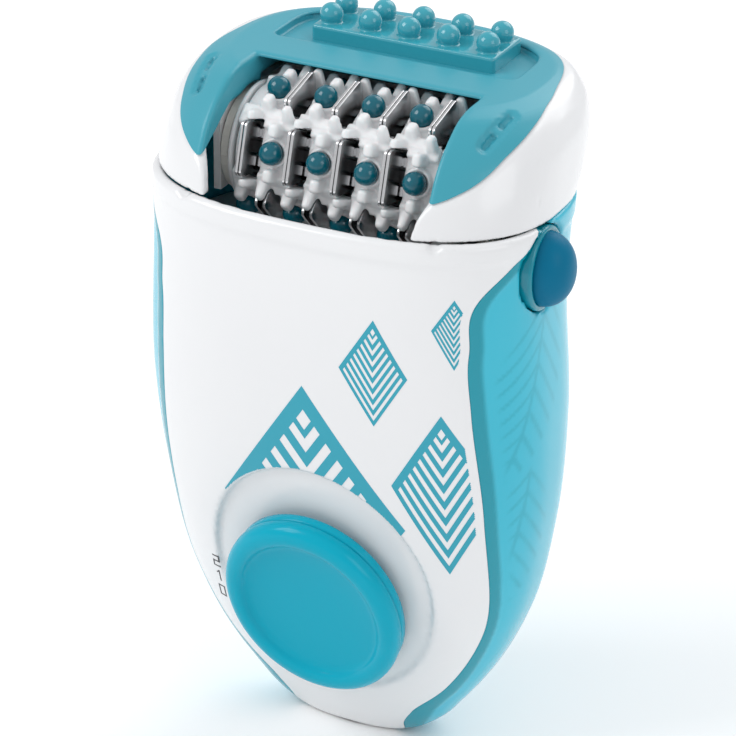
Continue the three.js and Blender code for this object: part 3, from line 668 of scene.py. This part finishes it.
def make_cover():
    """The tinted lid with its two cheeks: a half above the collar's line and one set inside the collar."""
    grid = Grid((-32.6, -26, 97), (32.6, 26, COVER_TOP_Z), HEAD_STEP)
    side = loft(grid, HEAD_SECTIONS, HEAD_POWER)
    head = both(side, grid.z - COVER_TOP_Z, 1.2)
    lid = both(both(side + WALL + 0.3, grid.z - COVER_TOP_Z + 0.1, 0.5), 108 - grid.z)
    near_window = both(np.abs(grid.x) - 20.6, grid.y + 1.8)
    hollow = without(both(head + 3.4, grid.z - 109.6), near_window)
    shells = [surface(grid, finish_cover(grid, head, without(shell, hollow))) for shell in (head, lid)]
    halves = [trim(shell, 2, cover_sheet, kept) for shell, kept in zip(shells, (1, -1))]
    points, faces = merged(halves)
    add_piece("cover", points, faces, COVER, ["head_cover"])


def finish_cover(grid, head, cover):
    """Cuts the roller's window, the massage bar's recess and the cheeks' slots."""
    window = both(np.abs(grid.x) - WINDOW_HALF, grid.y - WINDOW_BACK_Y)
    cover = without(cover, window, 0.9)
    around = np.hypot(grid.y - ROLLER_Y, grid.z - ROLLER_Z)
    cover = without(cover, both(around - 13, np.abs(grid.x) - WINDOW_HALF))
    cover = without(cover, both(around - 9, np.abs(grid.x) - 30))
    flat = np.zeros_like(grid.z)
    corner = rounded_box(grid.x, grid.y - 13.2, flat, (20.6, 8.0, 50), 1.5)
    rim = oval(HEAD_SECTIONS, HEAD_POWER, grid.x, grid.y, np.array(COVER_TOP_Z)) * 22 + 2.6
    recess = both(both(corner, rim, 1.5), 112.2 - grid.z, 0.5)
    cover = without(cover, recess, 0.4)
    for side in (-1, 1):
        along, across = cheek_frame(grid, side)
        near = 15 - side * grid.x
        bed = rounded_box(along, across, flat, (4.7, 1.1, 50), 1.05)
        bed = both(bed, np.maximum(-0.4 - head, near), 0.2)
        cover = without(cover, bed, 0.3)
        for place in (-2.3, 2.3):
            slot = rounded_box(along - place, across, flat, (1.65, 0.5, 50), 0.45)
            cover = without(cover, both(slot, np.maximum(-1.1 - head, near)), 0.1)
    return cover


def make_massage_bar():
    """The plate with its two rows of five domes, on two feet."""
    lo, hi = box_mm("massage_bar")
    grid = Grid(lo, hi, 0.22)
    plate_top, plate_base = 114.7, 111.4
    y = grid.y - 13.8
    half = (15.6, 5.2, (plate_top - plate_base) / 2)
    bar = rounded_box(grid.x, y, grid.z - (plate_top + plate_base) / 2, half, 0.45)
    dome_r, dome_pitch, row_gap = 1.85, 6.7, 5.1
    dx = grid.x - dome_pitch * np.clip(np.round(grid.x / dome_pitch), -2, 2)
    dy = y - row_gap * np.where(y > 0, 0.5, -0.5)
    dz = grid.z - (hi[2] - dome_r)
    domes = np.sqrt(dx ** 2 + dy ** 2 + dz ** 2) - dome_r
    bar = either(bar, domes, 0.45)
    for x in (-9, 9):
        foot = rounded_box(grid.x - x, y, grid.z - 110.6, (2, 1.2, 1.7), 0.3)
        bar = np.minimum(bar, foot)
    points, faces = surface(grid, bar)
    add_piece("massage_plate", points, faces, DOME, ["massage_bar"])


# ---- roller ----------------------------------------------------------------------------
def row_angle(row):
    return FIRST_ROW + row * 2 * math.pi / ROWS


def row_places(row):
    """Middles of a row's plates and beads, which take turns along the roller."""
    plates, beads = [], []
    for k in range(8):
        x = (-14 + k * PITCH / 2 - PITCH / 3 * row + 16) % 32 - 16
        if abs(x) < 15.7:
            (beads if k % 2 else plates).append(x)
    return plates, beads


def on_row(points, row):
    """Turns points drawn as along, around and out of the roller to a row's place."""
    angle = row_angle(row)
    around = np.array([0, math.sin(angle), math.cos(angle)])
    out = np.array([0, -math.cos(angle), math.sin(angle)])
    p = np.asarray(points, float)
    middle = np.array([0, ROLLER_Y, ROLLER_Z])
    return middle + p[:, :1] * np.array([1, 0, 0]) + p[:, 1:2] * around + p[:, 2:] * out


def row_coordinates(grid, turn):
    """Around and outward coordinates of a row that sits at an angle."""
    y, z = grid.y - ROLLER_Y, grid.z - ROLLER_Z
    around = math.sin(turn) * y + math.cos(turn) * z
    out = -math.cos(turn) * y + math.sin(turn) * z
    return around, out


def make_roller_core():
    """The drum with its ridges, teeth, plate slots and bead seats."""
    reach = 12.2
    lo = (-CORE_HALF, ROLLER_Y - reach, ROLLER_Z - reach)
    hi = (CORE_HALF, ROLLER_Y + reach, ROLLER_Z + reach)
    grid = Grid(lo, hi, 0.24)
    radius = np.hypot(grid.y - ROLLER_Y, grid.z - ROLLER_Z)
    ends = np.abs(grid.x) - CORE_HALF
    core = both(radius - 9.3, ends, 0.4)
    for row in range(ROWS):
        around, out = row_coordinates(grid, row_angle(row + 0.5))
        ridge = rounded_box(grid.x, around, out - 9.2, (CORE_HALF, 1.7, 1.15), 0.5)
        core = either(core, ridge, 0.5)
        line = np.hypot(around, out - 10.5) - 0.28
        core = without(core, both(line, np.abs(grid.x) - 16.4))
    for row in range(ROWS):
        around, out = row_coordinates(grid, row_angle(row))
        plates, beads = row_places(row)
        lean = 0.16 * (out - 9)
        for x in beads:
            boss = both(both(np.hypot(grid.x - x, around) - 2.3, out - 10.0, 0.4), 7.9 - out)
            core = either(core, boss, 0.3)
        for x in plates + beads:
            offset, width = (4.9, 1.0) if x in plates else (3.5, 1.15)
            for side in (-1, 1):
                t = around - side * offset
                tooth = rounded_box(grid.x - x, t, out - 9.6, (width - lean, 1.05, 1.9), 0.55)
                core = either(core, tooth, 0.35)
    core = without(core, both(radius - 7.9, np.abs(grid.x) - 40))
    core = both(core, ends, 0.3)
    for row in range(ROWS):
        around, out = row_coordinates(grid, row_angle(row))
        plates, beads = row_places(row)
        for x in plates:
            slot = rounded_box(grid.x - x - 0.15, around, out - 9, (1.35, 4.65, 3.6), 0.3)
            core = without(core, slot, 0.15)
        for x in beads:
            ball = np.sqrt((grid.x - x) ** 2 + around ** 2 + (out - BEAD_RING_R) ** 2) - BEAD_R
            hole = both(ball - FIT, -out)
            stem = both(np.hypot(grid.x - x, around) - 1.35, np.abs(out - 9) - 2)
            core = without(core, np.minimum(hole, stem))
    points, faces = surface(grid, core)
    add_piece("roller_drum", points, faces, SATIN_WHITE, ["roller_core"])


def make_beads(row):
    """A row of beads on a strip; the strip is painted black as shade in the dark inside of the roller, and
    the beads are tinted.
    """
    _, beads = row_places(row)
    grid = Grid((-16.6, -2, 6), (16.6, 2, 12.6), 0.16)
    strip = rounded_box(grid.x, grid.y, grid.z - 6.5, (16.6, 1.0, 0.5), 0.2)
    for x in beads:
        ball = np.sqrt((grid.x - x) ** 2 + grid.y ** 2 + (grid.z - BEAD_RING_R) ** 2) - BEAD_R
        stem = both(np.hypot(grid.x - x, grid.y) - 0.9, np.abs(grid.z - 8.3) - 1.8)
        strip = either(strip, either(ball, stem, 0.3), 0.2)
    points, faces = surface(grid, strip)
    name = f"bead_strip_{row + 1}"
    piece = add_piece(name.replace("strip", "row"), on_row(points, row), faces, BEAD, [name])
    # Painted shade: the strip below the beads is black to stand in for the dark inside of the drum.
    piece.data.materials.append(BLACK)
    heights = points[faces][:, :, 2].mean(axis=1)
    piece.data.polygons.foreach_set("material_index", (heights < 8.2).astype(np.int32))


def plate_between(outline, x0, x1, edge):
    """A sheet-metal plate with broken edges: an outline of (around, out) points between two x."""
    outline = np.array(outline)
    middle = outline.mean(axis=0)
    inner = middle + (outline - middle) * (1 - edge / np.linalg.norm(outline - middle, axis=1))[:, None]
    rings = [(x0, inner), (x0 + edge, outline), (x1 - edge, outline), (x1, inner)]
    points = [np.column_stack([np.full(len(ring), x), ring]) for x, ring in rings]
    count = len(outline)
    faces = [list(range(count))[::-1], [3 * count + i for i in range(count)]]
    for level in range(3):
        for i in range(count):
            j = (i + 1) % count
            base = level * count
            faces.append([base + i, base + j, base + count + j, base + count + i])
    return np.concatenate(points), faces


def merged(parts):
    """Several meshes as one list of points and faces."""
    points, faces, start = [], [], 0
    for part_points, part_faces in parts:
        points.append(part_points)
        faces += [[start + int(i) for i in face] for face in part_faces]
        start += len(part_points)
    return np.concatenate(points), faces


def arc(centre, radius, start, end, count=6):
    """Points on an arc, angles in degrees."""
    angles = np.radians(np.linspace(start, end, count))
    return [(centre[0] + radius * math.cos(a), centre[1] + radius * math.sin(a)) for a in angles]


def make_comb(row, moving):
    """One comb of a row: thin plates with rounded shoulders on a bar."""
    outline = [(-3.8, 7.4), (3.8, 7.4), (4.3, 10.2)]
    outline += arc((3.4, 11.1), 0.9, 0, 90) + arc((-3.4, 11.1), 0.9, 90, 180) + [(-4.3, 10.2)]
    rest_gap = 0.15 if row < 2 else 0.9
    thickness = 0.45
    node = f"{'moving' if moving else 'fixed'}_comb_{row + 1}"
    near_t, far_t = (1.5, 2.9) if moving else (-2.9, -1.5)
    half = 17.95 if moving else 16.6
    bar = [(near_t, 6.0), (far_t, 6.0), (far_t, 7.0), (near_t, 7.0)]
    parts = [plate_between(bar, -half, half, 0.1)]
    for x in row_places(row)[0]:
        near = x - 0.55 + rest_gap if moving else x - 0.55 - thickness
        parts.append(plate_between(outline, near, near + thickness, 0.1))
        tab = [(near_t + 0.1, 6.5), (far_t - 0.1, 6.5), (far_t - 0.1, 7.6), (near_t + 0.1, 7.6)]
        parts.append(plate_between(tab, near, near + thickness, 0.05))
    points, faces = merged(parts)
    name = node.replace("comb", "tweezers")
    piece = add_piece(name, on_row(points, row), faces, PLATE, [node])
    piece.data.polygons.foreach_set("use_smooth", np.zeros(len(piece.data.polygons), bool))


def make_flange(side):
    """The disc and spigot at one end of the roller."""
    node = "roller_flange_right" if side > 0 else "roller_flange_left"
    lo, hi = box_mm(node)
    grid = Grid(lo, hi, 0.22)
    radius = np.hypot(grid.y - ROLLER_Y, grid.z - ROLLER_Z)
    face = hi[0] if side > 0 else lo[0]
    disc = both(radius - 9.5, np.abs(grid.x - face + side * 0.4) - 0.4, 0.25)
    spigot = both(radius - 3.2, np.abs(grid.x - (lo[0] + hi[0]) / 2) - (hi[0] - lo[0]) / 2, 0.2)
    flange = without(either(disc, spigot, 0.3), radius - 1.75)
    for row in range(ROWS):
        around, out = row_coordinates(grid, row_angle(row))
        flange = without(flange, rounded_box(grid.x * 0, around - 2.2, out - 6.5, (9, 1.0, 0.8), 0.2))
    points, faces = surface(grid, flange)
    add_piece(node.replace("flange", "disc"), points, faces, SATIN_WHITE, [node])


# ---- knob and button -------------------------------------------------------------------
def lathe(profile, count):
    """Turns a profile of (radius, height) points about the third axis; it starts and ends on the axis."""
    profile = np.array(profile)
    angles = np.linspace(0, 2 * math.pi, count, endpoint=False)
    rings = [[(r * math.cos(a), r * math.sin(a), h) for a in angles] for r, h in profile[1:-1]]
    points = [(0, 0, profile[0][1])] + [p for ring in rings for p in ring] + [(0, 0, profile[-1][1])]
    faces = []
    for i in range(count):
        j = (i + 1) % count
        faces.append([0, 1 + j, 1 + i])
        for level in range(len(rings) - 1):
            base = 1 + level * count
            faces.append([base + i, base + j, base + count + j, base + count + i])
        base = 1 + (len(rings) - 1) * count
        faces.append([base + i, base + j, len(points) - 1])
    return np.array(points, float), faces


def make_knob():
    """The dished oval knob: a foot, a step, a broad rolled rim and a sunken middle."""
    lo, top = -0.6, 4.4
    profile = [(0, lo), (0.93, lo), (0.96, lo + 0.1), (0.985, lo + 0.5)]
    profile += [(0.985, 0.9), (0.98, 1.15), (0.965, 1.3)]
    profile += [(0.968, 1.5), (0.995, 1.7), (1.0, 2.0), (1.0, 2.7), (0.995, 3.1), (0.98, 3.6), (0.955, 4.0)]
    profile += [(0.925, 4.28), (0.89, top), (0.855, top), (0.825, 4.3), (0.80, 4.05), (0.785, 3.7)]
    profile += [(0.77, 3.38), (0.74, 3.15), (0.69, 3.0), (0.5, 2.8), (0.3, 2.7), (0.12, 2.66), (0, 2.65)]
    points, faces = lathe(profile, 144)
    points[:, 0] *= KNOB_HALF[0]
    points[:, 1] *= KNOB_HALF[1]
    add_piece("switch_cap", from_switch_face(points), faces, KNOB, ["switch_knob"])


def make_button():
    """A soft pebble on a stem."""
    half_y, half_z, root = 4.7, 6.0, 31.8
    reach = BUTTON_TIP_X - root
    profile = [(0, reach)]
    for t in np.linspace(4, 90, 18):
        a = math.radians(t)
        profile.append((math.sin(a) ** 0.92, reach * math.cos(a) ** 0.86))
    profile += [(0.985, -0.15), (0.95, -0.2), (0.36, -0.2), (0.35, -2.6), (0, -2.6)]
    points, faces = lathe(profile, 72)
    turned = np.column_stack([
        root + points[:, 2], BUTTON_Y + half_y * points[:, 0], BUTTON_Z + half_z * points[:, 1],
    ])
    faces = [face[::-1] for face in faces]
    add_piece("button_cap", turned, faces, BUTTON, ["release_button"])


def make_bezel():
    """The see-through oval ring around the button, with a rolled lip."""
    lo, hi = box_mm("button_bezel")
    grid = Grid(lo - 0.5, hi + 0.9, 0.2)
    half_y, half_z, face_x = 5.95, 6.75, 32.6
    r = np.hypot((grid.y - BUTTON_Y) / half_y, (grid.z - BUTTON_Z) / half_z) * half_y
    ring = both(r - half_y, np.abs(grid.x - (lo[0] + face_x) / 2) - (face_x - lo[0]) / 2, 0.5)
    well = both(r - 5.0, 29.9 - grid.x, 0.2)
    stem = both(r - 2.1, -grid.x)
    ring = without(without(ring, well, 0.3), stem)
    points, faces = surface(grid, ring)
    add_piece("button_ring", points, faces, BEZEL, ["button_bezel"])


# ---- prints ----------------------------------------------------------------------------
def split_cell(corners, keep, depth):
    """The printed part of a cell: whole, or its quarters where an edge crosses it."""
    inside = [keep(p) for p in corners]
    if all(inside):
        return [corners]
    if depth == 0 or not any(inside):
        return []
    a, b, c, d = corners
    middle = (a + b + c + d) / 4
    ab, bc, cd, da = (a + b) / 2, (b + c) / 2, (c + d) / 2, (d + a) / 2
    quarters = [(a, ab, middle, da), (ab, b, bc, middle), (middle, bc, c, cd), (da, middle, cd, d)]
    return [cell for quarter in quarters for cell in split_cell(quarter, keep, depth - 1)]


def ribbon(outline, columns, keep):
    """A quadrilateral with corners (a, b, c, d) as a fine strip: a-b and d-c are its long sides.
    keep tells which of its cells are printed."""
    a, b, c, d = [np.array(p, float) for p in outline]
    width = max(1, int(np.linalg.norm(d - a) / 0.5))
    cells = []
    for i in range(columns):
        for j in range(width):
            corners = []
            for s, t in ((i, j), (i + 1, j), (i + 1, j + 1), (i, j + 1)):
                s, t = s / columns, t / width
                corners.append((1 - t) * ((1 - s) * a + s * b) + t * ((1 - s) * d + s * c))
            cells += split_cell(corners, keep, 2)
    return cells


def printed(name, cells, material):
    """Cells of (x, z) corners laid on the front face as a closed film."""
    sink, lift = -0.03, 0.035
    keys, flat, faces = {}, [], []
    for cell in cells:
        face = []
        for p in cell:
            key = (round(float(p[0]), 3), round(float(p[1]), 3))
            if key not in keys:
                keys[key] = len(flat)
                flat.append(key)
            face.append(keys[key])
        faces.append(face)
    flat = np.array(flat)
    y = front_y(flat[:, 0], flat[:, 1])
    count = len(flat)
    top = np.column_stack([flat[:, 0], y - lift, flat[:, 1]])
    bottom = np.column_stack([flat[:, 0], y - sink, flat[:, 1]])
    edges = dict.fromkeys(edge for face in faces for edge in zip(face, face[1:] + face[:1]))
    closed = faces + [[count + i for i in face[::-1]] for face in faces]
    for i, j in edges:
        if (j, i) not in edges:
            closed.append([j, i, count + i, count + j])
    add_piece(name, np.concatenate([top, bottom]), closed, material, [], "housing")


def in_recess(p, margin):
    """Whether a place on the front lies in the knob's recess."""
    y = float(front_y(np.array(p[0]), np.array(p[1])))
    up = -math.sin(KNOB_TILT) * (y - KNOB_FACE[1]) + math.cos(KNOB_TILT) * (p[1] - KNOB_FACE[2])
    return math.hypot(p[0] / (RECESS_HALF[0] + margin), (up - RECESS_UP) / (RECESS_HALF[1] + margin)) < 1


def on_white(p):
    """Whether a place on the front is on the white shell and outside the knob's recess."""
    y = float(front_y(np.array(p[0]), np.array(p[1])))
    return float(seam_distance(np.array(y), np.array(p[1]))) < -0.7 and not in_recess(p, 0.5)


def chevron_diamond(name, apex, left, right, foot, border, stripes):
    """A diamond filled with nested V stripes: each stripe runs along the two lower sides."""
    apex, left, right, foot = [np.array(p, float) for p in (apex, left, right, foot)]

    def at(s, t):
        return (1 - s) * (1 - t) * apex + (1 - s) * t * right + s * (1 - t) * left + s * t * foot

    def patch(s0, s1, t0, t1):
        corners = (at(s0, t0), at(s1, t0), at(s1, t1), at(s0, t1))
        length = max(np.linalg.norm(corners[1] - corners[0]), np.linalg.norm(corners[2] - corners[3]))
        wide = max(np.linalg.norm(corners[3] - corners[0]), np.linalg.norm(corners[2] - corners[1]))
        if wide > length:
            corners = (corners[3], corners[0], corners[1], corners[2])
            length = wide
        return ribbon(corners, max(1, int(length / 0.45)), on_white)

    cells = patch(0, border, 0, 1) + patch(border, 1, 0, border)
    pitch = (1 - border) / stripes
    for k in range(stripes):
        outer = 1 - k * pitch
        share = 0.3 if k == stripes - 1 else 0.52
        inner = outer - share * pitch
        cells += patch(inner, outer, border, outer) + patch(border, inner, inner, outer)
    printed(name, cells, PRINT)


def stroke_digit(digit, middle, height):
    """A thin digit from straight strokes, as cells of (x, z) corners."""
    w, h, pen = 0.28 * height, 0.5 * height, 0.06 * height
    paths = {
        "0": [(-w, -h), (w, -h), (w, h), (-w, h), (-w, -h)],
        "1": [(-0.5 * w, 0.6 * h), (0.3 * w, h), (0.3 * w, -h)],
        "2": [(-w, h), (w, h), (w, 0), (-w, 0), (-w, -h), (w, -h)],
    }
    cells = []
    for (x0, z0), (x1, z1) in zip(paths[digit], paths[digit][1:]):
        length = math.hypot(x1 - x0, z1 - z0)
        u, v = (x1 - x0) / length, (z1 - z0) / length
        corners = []
        for along, across in ((-pen, -pen), (length + pen, -pen), (length + pen, pen), (-pen, pen)):
            corners.append((middle[0] + x0 + u * along - v * across, middle[1] + z0 + v * along + u * across))
        cells += ribbon(corners, max(1, int(length / 0.5)), lambda p: True)
    return cells


def make_prints():
    """The four chevron diamonds and the three digits of the switch."""
    chevron_diamond("print_large_left", (0.4, 70.8), (-15.4, 47.0), (16.2, 47.6), (0.4, 24), 0.09, 8)
    chevron_diamond("print_middle", (12.4, 84.6), (6.8, 75.6), (17.6, 75.4), (12.2, 66.3), 0.075, 9)
    chevron_diamond("print_small_right", (24.0, 89.0), (21.0, 84.0), (27.0, 83.6), (24.2, 77.5), 0.08, 9)
    chevron_diamond("print_large_right", (22.4, 69.6), (14.5, 55.9), (30.4, 55.4), (22.4, 39.8), 0.08, 9)
    for name, digit, z in (("digit_two", "2", 30.0), ("digit_one", "1", 26.8), ("digit_zero", "0", 23.4)):
        printed(name, stroke_digit(digit, (-19.9, z), 2.1), INK)


# ---- the inner pieces keep their CAD meshes --------------------------------------------
INNER = {
    "top_deck": SATIN_WHITE, "head_frame": SATIN_WHITE, "chassis_plate": ACETAL, "gear_cover": ACETAL,
    "motor_pinion": ACETAL, "idler_gear": ACETAL, "output_gear": ACETAL, "roller_gear": ACETAL,
    "cam_left": ACETAL, "cam_right": ACETAL, "latch_hook": ACETAL, "idler_axle": MACHINE,
    "output_axle": MACHINE, "motor_can": MACHINE, "motor_shaft": MACHINE, "roller_axle": MACHINE,
    "shell_screw_1": MACHINE, "shell_screw_2": MACHINE, "shell_screw_3": MACHINE, "button_spring": PLATE,
    "inlet_pin": PLATE, "motor_end_cap": BLACK, "switch_contact_block": BLACK, "capacitor": BLACK,
    "inlet_socket": BLACK, "switch_slider": BLACK, "motor_wire_black": BLACK, "motor_wire_red": RED,
    "circuit_board": BOARD,
}


def finish_inner_pieces():
    """Gives each inner CAD mesh its material and leaves its shape alone."""
    for node, material in INNER.items():
        mesh = frame["nodes"][node].data
        mesh.materials.clear()
        mesh.materials.append(material)


make_camera()
make_world()
make_floor()
area_light("key", (-0.55, -0.45, 0.70), 0.50, 4.0)
area_light("fill", (0.75, -0.25, 0.45), 0.45, 1.2)
area_light("back", (0.15, 0.6, 0.6), 0.6, 2.4)
make_front_shell()
make_back_shell()
make_collar()
make_cover()
make_massage_bar()
make_roller_core()
for row_number in range(ROWS):
    make_beads(row_number)
    make_comb(row_number, False)
    make_comb(row_number, True)
make_flange(-1)
make_flange(1)
make_knob()
make_button()
make_bezel()
make_prints()
finish_inner_pieces()
